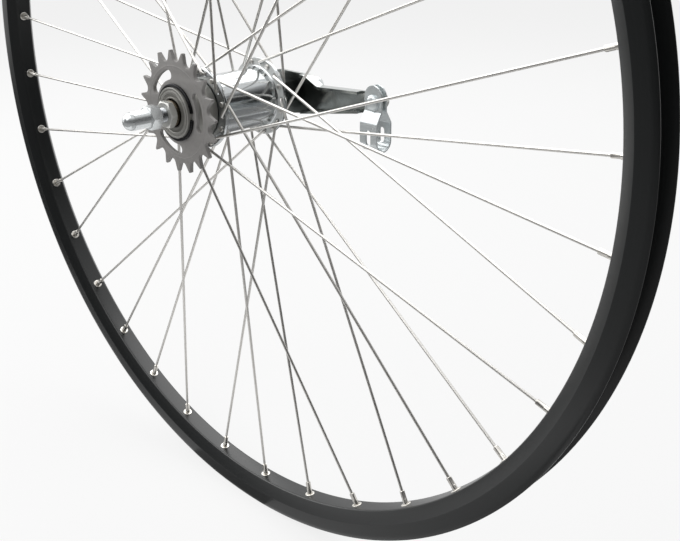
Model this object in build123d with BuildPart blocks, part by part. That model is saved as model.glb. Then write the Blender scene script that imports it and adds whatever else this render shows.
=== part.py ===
"""Rear bicycle wheel with a back-pedal brake hub, laced three-cross to a bare rim.

Millimetres. The origin is the wheel's centre on the axle's axis, +Y runs along the axle from the
sprocket's side to the brake arm's side, +X runs along the brake arm and +Z is up.
"""

import os
from math import acos, cos, radians, sin, sqrt, tan

from build123d import *

os.makedirs("parts", exist_ok=True)

# Rim: one extrusion with a flat base, slanted shoulders, upright walls and an open tyre well
rim_outer_radius = 325.5
rim_depth = 20.5
rim_width = 23.0
rim_base_width = 12.6
rim_shoulder_height = 8.5
rim_edge = 2.2
rim_base_thickness = 2.6
well_floor_width = 12.0
valve_hole_diameter = 8.5
valve_hole_sides = 6
valve_hole_turns = 2

# Spokes and nipples
spoke_count = 36
spoke_crosses = 3
spoke_diameter = 2.0
spoke_sides = 4
spoke_end_length = 1.2
first_spoke_angle = 13.8
nipple_length = 10.5
nipple_width = 4.0

# Hub shell
barrel_radius = 21.0
shell_bore_radius = 17.2
flange_radius = 28.2
flange_thickness = 3.0
flange_hole_land = 3.0
drive_flange_y = -26.0
brake_flange_y = 26.0

# Axle line: these distances are counted outwards from the wheel's centre
axle_radius = 5.0
over_locknuts = 115.0
locknut_across_flats = 17.0
drive_locknut_thickness = 5.0
brake_locknut_thickness = 7.0
dropout_room = 5.5
cap_nut_across_flats = 15.0
cap_nut_hexagon = 8.0
cap_nut_barrel = 11.0
cap_nut_radius = 6.3
cap_nut_roof = 2.0

# Driver, sprocket and their rings
driver_setback = 7.0
driver_seat_radius = 17.3
driver_flange_radius = 20.5
driver_mouth_radius = 13.2
driver_mouth_depth = 7.5
driver_neck_radius = 11.5
driver_neck_length = 20.0
driver_bore_radius = 6.0
driver_lug_count = 3
driver_lug_width = 7.0
driver_lug_height = 1.4
sprocket_teeth = 19
chain_pitch = 12.7
chain_roller_radius = 3.95
sprocket_setback = 4.5
sprocket_thickness = 2.8
sprocket_tip_width = 1.3
sprocket_tip_share = 0.3
first_gap_angle = 9.8
window_count = 3
window_inner_radius = 22.4
window_outer_radius = 29.0
window_span = 60.0
window_middle_angle = 127.5
snap_ring_radius = 19.6
snap_ring_thickness = 1.6
snap_ring_gap = 5.0
dust_cap_thickness = 0.8
dust_cap_hole_radius = 9.6

# Bearings and brake, inside the shell
cone_radius = 8.9
ball_count = 9
ball_ring_width = 4.0
clutch_length = 15.0
clutch_wide_radius = 16.4
clutch_taper_depth = 2.0
clutch_taper_length = 10.0
clutch_travel = 1.5
shoe_length = 27.0
shoe_outer_radius = 16.6
shoe_inner_radius = 11.0
shoe_part = 2.4
shoe_gap = 1.0
anchor_reach = 12.0
anchor_body_radius = 10.6
anchor_taper_depth = 2.0
anchor_taper_length = 9.0
anchor_disc_radius = 20.4
anchor_disc_thickness = 9.5
anchor_across_flats = 15.0

# Brake arm and its strap clip
arm_thickness = 3.0
arm_hub_radius = 16.5
arm_shoulder_x = 29.0
arm_shoulder_z = 16.2
arm_waist_x = 42.0
arm_waist_z = 10.0
arm_waist_round = 9.0
arm_eye_x = 94.0
arm_eye_z = 6.0
arm_eye_radius = 7.0
arm_lip_height = 4.5
arm_lip_width = 2.0
arm_lip_start = 24.0
arm_lip_end = 82.0
strap_width = 16.0
strap_thickness = 1.4
strap_ear_top = 17.8
strap_ear_bevel = 5.0
strap_neck_z = 0.0
strap_loop_top = -8.0
strap_loop_height = 19.5
strap_loop_width = 15.4
strap_slot_length = 11.0
strap_slot_width = 4.5
clip_bolt_radius = 3.0
clip_bolt_end = 1.0
clip_bolt_head_radius = 5.6
clip_bolt_head_height = 3.2
clip_bolt_head_bevel = 1.8
clip_nut_across_flats = 10.0
clip_nut_thickness = 5.0

# Flats that stand for round walls on small or hidden pieces
ring_sides = 24
core_sides = 12

# Clearances
fit_clearance = 0.05
sliding_clearance = 0.1
running_clearance = 0.3

# Places worked out from the sizes above
rim_base_radius = rim_outer_radius - rim_depth
spoke_step = 360 / spoke_count
locknut_face = over_locknuts / 2
driver_outer_face = locknut_face - driver_setback
sprocket_plane = driver_outer_face - sprocket_setback
cap_nut_face = locknut_face + dropout_room
cap_nut_end = cap_nut_face + cap_nut_hexagon + cap_nut_barrel + cap_nut_radius
cap_nut_bore_end = cap_nut_end - cap_nut_radius - cap_nut_roof
axle_half_length = cap_nut_bore_end - running_clearance
flange_hole_radius = flange_radius - flange_hole_land
shell_drive_end = drive_flange_y - flange_thickness / 2
shell_brake_end = brake_flange_y + flange_thickness / 2
drive_ball_ring_y = shell_drive_end + running_clearance + ball_ring_width / 2
brake_ball_ring_y = shell_brake_end - running_clearance - ball_ring_width / 2
driver_inner_face = shell_drive_end - running_clearance
driver_mouth_floor = -driver_outer_face + driver_mouth_depth
dust_cap_inner_face = -driver_outer_face + dust_cap_thickness
cone_outer_end = -locknut_face + drive_locknut_thickness
cone_inner_end = driver_mouth_floor - running_clearance
sprocket_inner_face = -sprocket_plane + sprocket_thickness / 2
sprocket_outer_face = -sprocket_plane - sprocket_thickness / 2
neck_end = driver_inner_face + driver_neck_length
shoe_start = neck_end + clutch_travel + shoe_gap
shoe_end = shoe_start + shoe_length
anchor_disc_face = shell_brake_end + running_clearance
arm_outer_face = locknut_face - brake_locknut_thickness
arm_inner_face = arm_outer_face - arm_thickness
arm_middle = arm_outer_face - arm_thickness / 2
ear_front_face = arm_inner_face - fit_clearance - strap_thickness
ear_back_face = arm_outer_face + fit_clearance + strap_thickness


def polar(radius, angle):
    """Point at a radius and an angle about the axle, counted up from +X."""
    return Vector(radius * cos(radians(angle)), 0, radius * sin(radians(angle)))


def across(y):
    """Plane square to the axle at a place along it, X to the right and Z up, facing -Y."""
    return Plane.XZ.offset(-y)


def section(*corners):
    """Closed section of a turned piece, from (radius, place along the axle) corners."""
    with BuildSketch() as outline:
        with BuildLine():
            Polyline(*corners, close=True)
        make_face()
    return outline.sketch


def flats(radius, sides):
    """Regular outline whose flats touch a circle of this radius from outside."""
    with BuildSketch() as outline:
        RegularPolygon(radius, sides, major_radius=False)
    return outline.sketch


class SpokeLine:
    """One spoke's run from the rim to its elbow, then its tail through the flange."""

    def __init__(self, hole):
        side = -1 if hole % 2 == 0 else 1
        runs_outside = hole % 4 < 2
        flange_y = drive_flange_y if side < 0 else brake_flange_y
        rim_angle = first_spoke_angle - hole * spoke_step
        lean = spoke_crosses * 2 * spoke_step
        rim_point = polar(rim_base_radius, rim_angle)
        hub_point = polar(flange_hole_radius, rim_angle - lean if runs_outside else rim_angle + lean)
        flat_run = (rim_point - hub_point).length
        # A spoke outside its flange sinks towards the rim's plane, so it starts that much further out
        radial_part = (rim_point - hub_point).dot(hub_point) / flat_run
        edge_radius = flange_radius + spoke_diameter / 2
        edge_run = sqrt(radial_part**2 + edge_radius**2 - flange_hole_radius**2) - radial_part
        sink = edge_run * (abs(flange_y) + flange_thickness) / flat_run if runs_outside else 0
        run_side = side if runs_outside else -side
        elbow_reach = (flange_thickness + spoke_diameter) / 2 + running_clearance + sink
        tail_reach = flange_thickness / 2 + spoke_end_length
        self.elbow = hub_point + Vector(0, flange_y + run_side * elbow_reach, 0)
        self.tail_end = hub_point + Vector(0, flange_y - run_side * tail_reach, 0)
        self.direction = (self.elbow - rim_point).normalized()
        self.nipple_end = rim_point + self.direction * nipple_length
        self.rim_plane = Plane(origin=rim_point, z_dir=self.direction)
        self.tilt = acos(-self.direction.dot(rim_point.normalized()))


# Each spoke family is nine turned copies of its first spoke
spoke_families = {
    "spokes_drive_outside": SpokeLine(0),
    "spokes_brake_outside": SpokeLine(1),
    "spokes_drive_inside": SpokeLine(2),
    "spokes_brake_inside": SpokeLine(3),
}
family_size = spoke_count // len(spoke_families)
family_step = 360 / family_size


def turned_copies(piece):
    """Copies of a piece at every place of its spoke family."""
    return [piece.rotate(Axis.Y, family_step * place) for place in range(family_size)]


# Rim, with a valve hole where an inside spoke and the next outside one lean apart
well_edge = rim_width / 2 - rim_edge
well_floor_radius = rim_base_radius + rim_base_thickness
valve_angle = first_spoke_angle + spoke_step / 2 + valve_hole_turns * family_step
with BuildPart() as rim:
    revolve(
        section(
            (rim_base_radius, -rim_base_width / 2),
            (rim_base_radius, rim_base_width / 2),
            (rim_base_radius + rim_shoulder_height, rim_width / 2),
            (rim_outer_radius, rim_width / 2),
            (rim_outer_radius, well_edge),
            (well_floor_radius, well_floor_width / 2),
            (well_floor_radius, -well_floor_width / 2),
            (rim_outer_radius, -well_edge),
            (rim_outer_radius, -rim_width / 2),
            (rim_base_radius + rim_shoulder_height, -rim_width / 2),
        ),
        axis=Axis.Y,
    )
    with BuildSketch(Plane(origin=polar(rim_base_radius, valve_angle), z_dir=polar(1, valve_angle))):
        RegularPolygon(valve_hole_diameter / 2, valve_hole_sides, major_radius=False)
    extrude(amount=2 * rim_base_thickness, both=True, mode=Mode.SUBTRACT)
rim.part.label = "rim"
export_step(rim.part, "parts/rim.step")

# Nipples: square bodies that stand on the rim's base, each along its spoke
with BuildPart() as first_nipples:
    for line in spoke_families.values():
        seat = nipple_width / sqrt(2) * tan(line.tilt) + fit_clearance
        with BuildSketch(line.rim_plane.offset(seat)):
            Rectangle(nipple_width, nipple_width)
        extrude(amount=nipple_length - seat - fit_clearance)

with BuildPart() as nipples:
    add(turned_copies(first_nipples.part))
nipples.part.label = "nipples"
export_step(nipples.part, "parts/nipples.step")

# Spokes: a straight run from the nipple, an elbow, then the tail
for family, line in spoke_families.items():
    with BuildPart() as first_spoke:
        with BuildLine():
            Polyline(line.nipple_end, line.elbow, line.tail_end)
        with BuildSketch(Plane(origin=line.nipple_end, z_dir=line.direction)):
            RegularPolygon(spoke_diameter / 2, spoke_sides)
        sweep(transition=Transition.RIGHT)

    with BuildPart() as spokes:
        add(turned_copies(first_spoke.part))
    spokes.part.label = family
    export_step(spokes.part, f"parts/{family}.step")

# Hub shell: a bored barrel with two drilled flanges
flange_half = flange_thickness / 2
with BuildPart() as hub_shell:
    revolve(
        section(
            (0, shell_drive_end),
            (flange_radius, shell_drive_end),
            (flange_radius, drive_flange_y + flange_half),
            (barrel_radius, drive_flange_y + flange_half),
            (barrel_radius, brake_flange_y - flange_half),
            (flange_radius, brake_flange_y - flange_half),
            (flange_radius, shell_brake_end),
            (0, shell_brake_end),
        ),
        axis=Axis.Y,
    )
    with BuildSketch(across(shell_brake_end)):
        add(flats(shell_bore_radius, ring_sides))
    extrude(amount=shell_brake_end - shell_drive_end, mode=Mode.SUBTRACT)
    for flange_y, first_hole in ((drive_flange_y, 0), (brake_flange_y, 1)):
        first_angle = first_spoke_angle - first_hole * spoke_step
        with BuildSketch(across(flange_y)):
            with PolarLocations(flange_hole_radius, spoke_count // 2, first_angle):
                RegularPolygon(spoke_diameter / 2 + sliding_clearance, spoke_sides, major_radius=False)
        extrude(amount=flange_thickness, both=True, mode=Mode.SUBTRACT)
hub_shell.part.label = "hub_shell"
export_step(hub_shell.part, "parts/hub_shell.step")

# Axle, its two cap nuts and the locknuts that hold the hub together
with BuildPart() as axle:
    with BuildSketch(across(0)):
        Circle(axle_radius)
    extrude(amount=axle_half_length, both=True)
axle.part.label = "axle"
export_step(axle.part, "parts/axle.step")

axle_hole = flats(axle_radius + fit_clearance, core_sides)

with BuildPart() as axle_nuts:
    with BuildSketch(across(cap_nut_face)):
        RegularPolygon(cap_nut_across_flats / 2, 6, major_radius=False)
    extrude(amount=-cap_nut_hexagon)
    with BuildSketch(across(cap_nut_face)):
        RegularPolygon(cap_nut_radius, ring_sides)
    extrude(amount=cap_nut_face - cap_nut_end)
    chamfer(axle_nuts.edges().group_by(Axis.Y)[-1], cap_nut_radius * (2 - sqrt(2)))
    with BuildSketch(across(cap_nut_face)):
        add(axle_hole)
    extrude(amount=cap_nut_face - cap_nut_bore_end, mode=Mode.SUBTRACT)
    mirror(about=Plane.XZ)
axle_nuts.part.label = "axle_nuts"
export_step(axle_nuts.part, "parts/axle_nuts.step")

with BuildPart() as locknuts:
    for start, thickness in (
        (-locknut_face, drive_locknut_thickness),
        (arm_outer_face, brake_locknut_thickness),
    ):
        with BuildSketch(across(start)):
            RegularPolygon(locknut_across_flats / 2, 6, major_radius=False)
            add(axle_hole, mode=Mode.SUBTRACT)
        extrude(amount=-thickness)
locknuts.part.label = "locknuts"
export_step(locknuts.part, "parts/locknuts.step")

# Driver: the sleeve that carries the sprocket, with a neck that works the brake's clutch
with BuildPart() as driver:
    revolve(
        section(
            (0, -driver_outer_face),
            (driver_seat_radius, -driver_outer_face),
            (driver_seat_radius, sprocket_inner_face),
            (driver_flange_radius, sprocket_inner_face),
            (driver_flange_radius, driver_inner_face),
            (0, driver_inner_face),
        ),
        axis=Axis.Y,
    )
    with BuildSketch(across(driver_inner_face)):
        RegularPolygon(driver_neck_radius, core_sides)
    extrude(amount=-driver_neck_length)
    with BuildSketch(across(driver_mouth_floor)):
        add(flats(driver_mouth_radius, ring_sides))
    extrude(amount=driver_mouth_depth, mode=Mode.SUBTRACT)
    with BuildSketch(across(neck_end)):
        add(flats(driver_bore_radius, core_sides))
    extrude(amount=neck_end - driver_mouth_floor, mode=Mode.SUBTRACT)
    with BuildSketch(across(sprocket_inner_face)):
        with PolarLocations(driver_seat_radius, driver_lug_count, window_middle_angle):
            Rectangle(2 * driver_lug_height, driver_lug_width)
    extrude(amount=sprocket_thickness)
driver.part.label = "driver"
export_step(driver.part, "parts/driver.step")

# Sprocket: round seats for the chain's rollers, curved windows, a lugged bore
tooth_angle = 360 / sprocket_teeth
pitch_radius = chain_pitch / 2 / sin(radians(tooth_angle / 2))
tip_radius = chain_pitch * (sprocket_tip_share + 1 / (2 * tan(radians(tooth_angle / 2))))
valley_half_width = tip_radius * sin(radians(tooth_angle / 2)) - sprocket_tip_width / 2
seat_half_angle = 35

with BuildSketch() as tooth_gap:
    with BuildLine():
        roller_seat = CenterArc(
            (pitch_radius, 0), chain_roller_radius, 180 - seat_half_angle, 2 * seat_half_angle
        )
        Polyline(
            roller_seat @ 0,
            (tip_radius, valley_half_width),
            (tip_radius + sprocket_thickness, valley_half_width),
            (tip_radius + sprocket_thickness, -valley_half_width),
            (tip_radius, -valley_half_width),
            roller_seat @ 1,
        )
    make_face()

with BuildSketch() as window:
    with BuildLine():
        inner_edge = CenterArc((0, 0), window_inner_radius, -window_span / 2, window_span)
        outer_edge = CenterArc((0, 0), window_outer_radius, -window_span / 2, window_span)
        Line(inner_edge @ 0, outer_edge @ 0)
        Line(inner_edge @ 1, outer_edge @ 1)
    make_face()

with BuildSketch() as toothed_disc:
    Circle(tip_radius)
    with PolarLocations(0, sprocket_teeth):
        add(tooth_gap.sketch, mode=Mode.SUBTRACT)

with BuildPart() as sprocket:
    with BuildSketch(across(sprocket_inner_face)):
        add(toothed_disc.sketch, rotation=first_gap_angle)
    extrude(amount=sprocket_thickness)
    with BuildSketch(across(sprocket_inner_face)):
        add(flats(driver_seat_radius + fit_clearance, ring_sides))
        with PolarLocations(driver_seat_radius, driver_lug_count, window_middle_angle):
            Rectangle(2 * (driver_lug_height + fit_clearance), driver_lug_width + 2 * fit_clearance)
        with PolarLocations(0, window_count, window_middle_angle):
            add(window.sketch)
    extrude(amount=sprocket_thickness, mode=Mode.SUBTRACT)
sprocket.part.label = "sprocket"
export_step(sprocket.part, "parts/sprocket.step")

# Open snap ring that keeps the sprocket on the driver
with BuildPart() as snap_ring:
    with BuildSketch(across(sprocket_outer_face)):
        RegularPolygon(snap_ring_radius, ring_sides)
        add(flats(driver_seat_radius + fit_clearance, ring_sides), mode=Mode.SUBTRACT)
        Rectangle(snap_ring_radius, snap_ring_gap, align=(Align.MIN, Align.CENTER), mode=Mode.SUBTRACT)
    extrude(amount=snap_ring_thickness)
snap_ring.part.label = "snap_ring"
export_step(snap_ring.part, "parts/snap_ring.step")

# Dust cap in the driver's mouth
with BuildPart() as dust_cap:
    with BuildSketch(across(dust_cap_inner_face)):
        RegularPolygon(driver_mouth_radius - fit_clearance, ring_sides)
        add(flats(dust_cap_hole_radius, ring_sides), mode=Mode.SUBTRACT)
    extrude(amount=dust_cap_thickness)
dust_cap.part.label = "dust_cap"
export_step(dust_cap.part, "parts/dust_cap.step")

# Cone that the driver runs on
with BuildPart() as drive_cone:
    with BuildSketch(across(cone_outer_end)):
        RegularPolygon(cone_radius, ring_sides)
        add(axle_hole, mode=Mode.SUBTRACT)
    extrude(amount=cone_outer_end - cone_inner_end)
drive_cone.part.label = "drive_cone"
export_step(drive_cone.part, "parts/drive_cone.step")

# Caged ball rings, one flat for each ball: (middle along the axle, shaft radius, bore radius)
ball_rings = {
    "mouth_ball_ring": (
        (dust_cap_inner_face + driver_mouth_floor) / 2, cone_radius, driver_mouth_radius
    ),
    "drive_ball_ring": (drive_ball_ring_y, driver_neck_radius, shell_bore_radius),
    "brake_ball_ring": (brake_ball_ring_y, anchor_body_radius, shell_bore_radius),
}
for name, (middle, shaft_radius, bore_radius) in ball_rings.items():
    with BuildPart() as ball_ring:
        with BuildSketch(across(middle)):
            RegularPolygon(bore_radius - fit_clearance, ball_count)
            add(flats(shaft_radius + running_clearance, ball_count), mode=Mode.SUBTRACT)
        extrude(amount=ball_ring_width / 2, both=True)
    ball_ring.part.label = name
    export_step(ball_ring.part, f"parts/{name}.step")

# Clutch cone that runs along the driver's neck to the brake
with BuildPart() as clutch_cone:
    with BuildSketch(across(neck_end)):
        RegularPolygon(clutch_wide_radius, core_sides)
    extrude(amount=clutch_length)
    chamfer(
        clutch_cone.edges().group_by(Axis.Y)[-1],
        length=clutch_taper_depth,
        length2=clutch_taper_length,
        reference=clutch_cone.faces().sort_by(Axis.Y)[-1],
    )
    with BuildSketch(across(neck_end)):
        add(flats(driver_neck_radius + sliding_clearance, core_sides))
    extrude(amount=clutch_length, mode=Mode.SUBTRACT)
clutch_cone.part.label = "clutch_cone"
export_step(clutch_cone.part, "parts/clutch_cone.step")

# Two brake shoes, half shells inside the barrel
for name, turn in (("brake_shoe_upper", 0), ("brake_shoe_lower", 180)):
    with BuildPart() as brake_shoe:
        with BuildSketch(across(shoe_start)):
            RegularPolygon(shoe_outer_radius, core_sides, rotation=turn)
            add(flats(shoe_inner_radius, core_sides), mode=Mode.SUBTRACT)
            with Locations(Location((0, 0, 0), (0, 0, turn))):
                with Locations((0, shoe_part / 2)):
                    Rectangle(
                        2 * shoe_outer_radius,
                        shoe_outer_radius,
                        align=(Align.CENTER, Align.MIN),
                        mode=Mode.INTERSECT,
                    )
        extrude(amount=-shoe_length)
    brake_shoe.part.label = name
    export_step(brake_shoe.part, f"parts/{name}.step")

# Brake anchor: a nose under the shoes, a closing disc, and a hexagon neck for the arm
anchor_end = arm_outer_face - fit_clearance
anchor_disc_end = anchor_disc_face + anchor_disc_thickness
with BuildPart() as brake_anchor:
    with BuildSketch(across(anchor_disc_face)):
        RegularPolygon(anchor_body_radius, core_sides)
    extrude(amount=anchor_disc_face - shoe_end + anchor_reach)
    chamfer(
        brake_anchor.edges().group_by(Axis.Y)[0],
        length=anchor_taper_depth,
        length2=anchor_taper_length,
        reference=brake_anchor.faces().sort_by(Axis.Y)[0],
    )
    with BuildSketch(across(anchor_disc_face)):
        Circle(anchor_disc_radius)
    extrude(amount=-anchor_disc_thickness)
    with BuildSketch(across(anchor_disc_end)):
        add(flats(anchor_across_flats / 2, 6))
    extrude(amount=anchor_disc_end - anchor_end)
    with BuildSketch(across(anchor_end)):
        add(axle_hole)
    extrude(amount=anchor_end - shoe_end + anchor_reach, mode=Mode.SUBTRACT)
brake_anchor.part.label = "brake_anchor"
export_step(brake_anchor.part, "parts/brake_anchor.step")

# Brake arm: a pressed plate, tall at the hub and narrow at its eye, with lips turned towards -Y
with BuildSketch() as arm_outline:
    with BuildLine():
        top_edge = FilletPolyline(
            (0, arm_hub_radius),
            (arm_shoulder_x, arm_shoulder_z),
            (arm_waist_x, arm_waist_z),
            (arm_eye_x, arm_eye_z + arm_eye_radius),
            radius=arm_waist_round,
        )
        Polyline(
            top_edge @ 1, (arm_eye_x, arm_eye_z - arm_eye_radius), (0, -arm_hub_radius), top_edge @ 0
        )
    make_face()
    Circle(arm_hub_radius)
    with Locations((arm_eye_x, arm_eye_z)):
        Circle(arm_eye_radius)

with BuildPart() as brake_arm:
    with BuildSketch(across(arm_inner_face)):
        add(arm_outline.sketch)
        with Locations((arm_eye_x, arm_eye_z)):
            RegularPolygon(clip_bolt_radius + fit_clearance, 6, mode=Mode.SUBTRACT)
    extrude(amount=-arm_thickness)
    with BuildSketch(across(arm_inner_face)):
        add(arm_outline.sketch)
        offset(amount=-arm_lip_width, mode=Mode.SUBTRACT)
        with Locations((arm_lip_start, 0)):
            Rectangle(
                arm_lip_end - arm_lip_start,
                4 * arm_hub_radius,
                align=(Align.MIN, Align.CENTER),
                mode=Mode.INTERSECT,
            )
    extrude(amount=arm_lip_height)
    with BuildSketch(across(arm_inner_face)):
        add(flats(anchor_across_flats / 2 + fit_clearance, 6))
    extrude(amount=-arm_thickness, mode=Mode.SUBTRACT)
brake_arm.part.label = "brake_arm"
export_step(brake_arm.part, "parts/brake_arm.step")

# Strap clip: one bent band, an ear on each side of the arm and a slotted loop below
front_ear = ear_front_face + strap_thickness / 2
back_ear = ear_back_face - strap_thickness / 2
loop_half = (strap_loop_width - strap_thickness) / 2
loop_floor = strap_loop_top - strap_loop_height
loop_corner = loop_half * (2 - sqrt(2))
with BuildPart() as arm_clip:
    with BuildSketch(Plane.YZ.offset(arm_eye_x)):
        with BuildLine():
            Polyline(
                (front_ear, strap_ear_top),
                (front_ear, strap_neck_z),
                (arm_middle - loop_half, strap_loop_top),
                (arm_middle - loop_half, loop_floor + loop_corner),
                (arm_middle - loop_half + loop_corner, loop_floor),
                (arm_middle + loop_half - loop_corner, loop_floor),
                (arm_middle + loop_half, loop_floor + loop_corner),
                (arm_middle + loop_half, strap_loop_top),
                (back_ear, strap_neck_z),
                (back_ear, strap_ear_top),
            )
        trace(line_width=strap_thickness)
    extrude(amount=strap_width / 2, both=True)
    chamfer(arm_clip.edges().filter_by(Axis.Y).group_by(Axis.Z)[-1], strap_ear_bevel)
    with BuildSketch(across(arm_middle)):
        with Locations((arm_eye_x, arm_eye_z)):
            RegularPolygon(clip_bolt_radius + fit_clearance, 6)
        with Locations((arm_eye_x, strap_loop_top - strap_loop_height / 2)):
            Rectangle(strap_slot_width, strap_slot_length)
    extrude(amount=strap_loop_width, both=True, mode=Mode.SUBTRACT)
arm_clip.part.label = "arm_clip"
export_step(arm_clip.part, "parts/arm_clip.step")

# The clip's bolt and nut
bolt_length = ear_back_face - ear_front_face + 2 * fit_clearance + clip_nut_thickness + clip_bolt_end
with BuildPart() as clip_bolt:
    with BuildSketch(across(ear_front_face - fit_clearance)):
        with Locations((arm_eye_x, arm_eye_z)):
            RegularPolygon(clip_bolt_head_radius, core_sides)
    extrude(amount=clip_bolt_head_height)
    chamfer(clip_bolt.edges().group_by(Axis.Y)[0], clip_bolt_head_bevel)
    with BuildSketch(across(ear_front_face - fit_clearance)):
        with Locations((arm_eye_x, arm_eye_z)):
            RegularPolygon(clip_bolt_radius, 6)
    extrude(amount=-bolt_length)
clip_bolt.part.label = "clip_bolt"
export_step(clip_bolt.part, "parts/clip_bolt.step")

with BuildPart() as clip_nut:
    with BuildSketch(across(ear_back_face + fit_clearance)):
        with Locations((arm_eye_x, arm_eye_z)):
            RegularPolygon(clip_nut_across_flats / 2, 6, major_radius=False)
            RegularPolygon(clip_bolt_radius + fit_clearance, 6, mode=Mode.SUBTRACT)
    extrude(amount=-clip_nut_thickness)
clip_nut.part.label = "clip_nut"
export_step(clip_nut.part, "parts/clip_nut.step")
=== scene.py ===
"""Rear bicycle wheel with a back-pedal brake hub: the finish of every piece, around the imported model.

Metres. The origin is the wheel's centre on the axle, +Y runs along the axle from the sprocket's side
to the brake arm's side, +X runs along the brake arm and +Z is up.
"""

from math import asin, cos, pi, radians, sin, sqrt, tan, tau

import bmesh
import bpy
from mathutils import Euler, Matrix, Vector


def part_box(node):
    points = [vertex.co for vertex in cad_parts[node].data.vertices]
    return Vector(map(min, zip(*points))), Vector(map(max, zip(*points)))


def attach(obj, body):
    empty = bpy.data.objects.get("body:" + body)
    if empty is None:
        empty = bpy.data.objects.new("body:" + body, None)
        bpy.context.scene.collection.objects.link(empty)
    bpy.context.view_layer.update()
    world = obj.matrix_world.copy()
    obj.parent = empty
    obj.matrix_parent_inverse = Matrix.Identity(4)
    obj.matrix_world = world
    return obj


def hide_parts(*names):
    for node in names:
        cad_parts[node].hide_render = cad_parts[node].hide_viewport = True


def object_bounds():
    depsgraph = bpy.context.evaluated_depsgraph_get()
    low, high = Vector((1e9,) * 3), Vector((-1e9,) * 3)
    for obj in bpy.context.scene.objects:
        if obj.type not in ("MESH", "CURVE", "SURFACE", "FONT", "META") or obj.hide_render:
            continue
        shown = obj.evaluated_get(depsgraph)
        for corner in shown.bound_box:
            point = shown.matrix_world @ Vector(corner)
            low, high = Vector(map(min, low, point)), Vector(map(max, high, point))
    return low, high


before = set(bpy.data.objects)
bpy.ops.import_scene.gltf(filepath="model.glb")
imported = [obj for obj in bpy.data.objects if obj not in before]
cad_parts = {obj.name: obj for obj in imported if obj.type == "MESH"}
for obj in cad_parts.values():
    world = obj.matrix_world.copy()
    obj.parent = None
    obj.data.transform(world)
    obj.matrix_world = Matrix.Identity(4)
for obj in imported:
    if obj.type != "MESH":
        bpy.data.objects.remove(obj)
cad_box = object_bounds()

MM = 0.001


def reach(node, axis):
    """Lowest and highest place of a node along one axis."""
    low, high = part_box(node)
    return getattr(low, axis), getattr(high, axis)


# Edge rounds that the pieces share
keen_edge = 0.1 * MM
ground_edge = 0.2 * MM
broken_edge = 0.3 * MM
eased_edge = 0.4 * MM
soft_edge = 0.5 * MM
worn_edge = 0.6 * MM

# Points of a plate that lie nearer than this are one
merge_distance = 0.002 * MM

# Sides of round shapes
rim_sides = 288
shell_sides = 144
sprocket_ring_sides = 120
turned_sides = 96
cap_sides = 72
slim_sides = 48
valve_drill_sides = 32
nipple_sides = 24
bolt_hole_sides = 24
flange_drill_sides = 20
spoke_sides = 16

# Steps along curves
bend_steps = 6
strap_steps = 10
roller_seat_steps = 12
window_steps = 16
window_end_steps = 10
slot_end_steps = 8
plate_edge_steps = 2
arm_edge_steps = 3

# Degrees between faces past which an edge stays sharp
plain_sharp = 35
bored_sharp = 30
nut_sharp = 25
thread_sharp = 60

# Rim
rim_radius = reach("rim", "x")[1]
rim_half_width = reach("rim", "y")[1]
rim_base_radius = rim_radius - 20.5 * MM
rim_base_half = 6.3 * MM
rim_base_round = 1.8 * MM
rim_shoulder = 8.5 * MM
rim_shoulder_round = 1.0 * MM
rim_wall_round = 8.0 * MM
rim_edge = 2.2 * MM
rim_lip = (2.6 * MM, 1.2 * MM)
rim_floor_radius = rim_base_radius + 2.6 * MM
rim_floor_half = 6.0 * MM
rim_floor_round = 2.0 * MM
valve_hole_radius = 4.25 * MM
valve_angle = radians(98.8)
valve_drill_start = rim_base_radius - 4 * MM
valve_drill_end = rim_floor_radius + 2 * MM

# Hub shell and spokes
shell_drive_end, shell_brake_end = reach("hub_shell", "y")
flange_radius = reach("hub_shell", "x")[1]
flange_half = 1.5 * MM
flange_edge_round = 0.9 * MM
flange_face_slope = 0.7
flange_hole_circle = flange_radius - 3.0 * MM
flange_y = {-1: shell_drive_end + flange_half, 1: shell_brake_end - flange_half}
barrel_radius = 21.0 * MM
shell_bore = 17.2 * MM
shoulder_round = 2.6 * MM
spoke_count = 36
spoke_crosses = 3
spoke_radius = 1.0 * MM
spoke_steps = 16
spoke_bend = 2.4 * MM
spoke_head_radius = 1.85 * MM
spoke_end_length = 1.2 * MM
spoke_gap = 0.3 * MM
spoke_hole_gap = 0.12 * MM
countersink_width = 0.6 * MM
countersink_depth = 0.5 * MM
drill_overrun = 0.05 * MM
first_spoke_angle = radians(13.8)
family_size = 9
spoke_families = {
    "spokes_drive_outside": 0,
    "spokes_brake_outside": 1,
    "spokes_drive_inside": 2,
    "spokes_brake_inside": 3,
}

# Nipples and eyelets
nipple_length = 9.6 * MM
nipple_radius = 1.85 * MM
nipple_socket = 1.3 * MM
eyelet_radius = 3.7 * MM
eyelet_height = 0.55 * MM
eyelet_depth = 3.0 * MM
eyelet_gap = 0.1 * MM
# Nipple sections in millimetres: place from the rim's base, radius, and half the width over its
# wrench flats, which is 9 where it has none
nipple_sections = [
    (-4.2, 0, 0), (-4.2, 1.7, 9), (-3.6, 2.6, 9), (-2.8, 2.9, 9), (-2.6, 2.9, 9), (-2.2, 1.85, 9),
    (3.6, 1.85, 9), (4.0, 1.85, 1.5), (8.8, 1.85, 1.5), (9.3, 1.7, 1.5), (9.6, 1.4, 1.4), (9.6, 0, 0),
]

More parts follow.
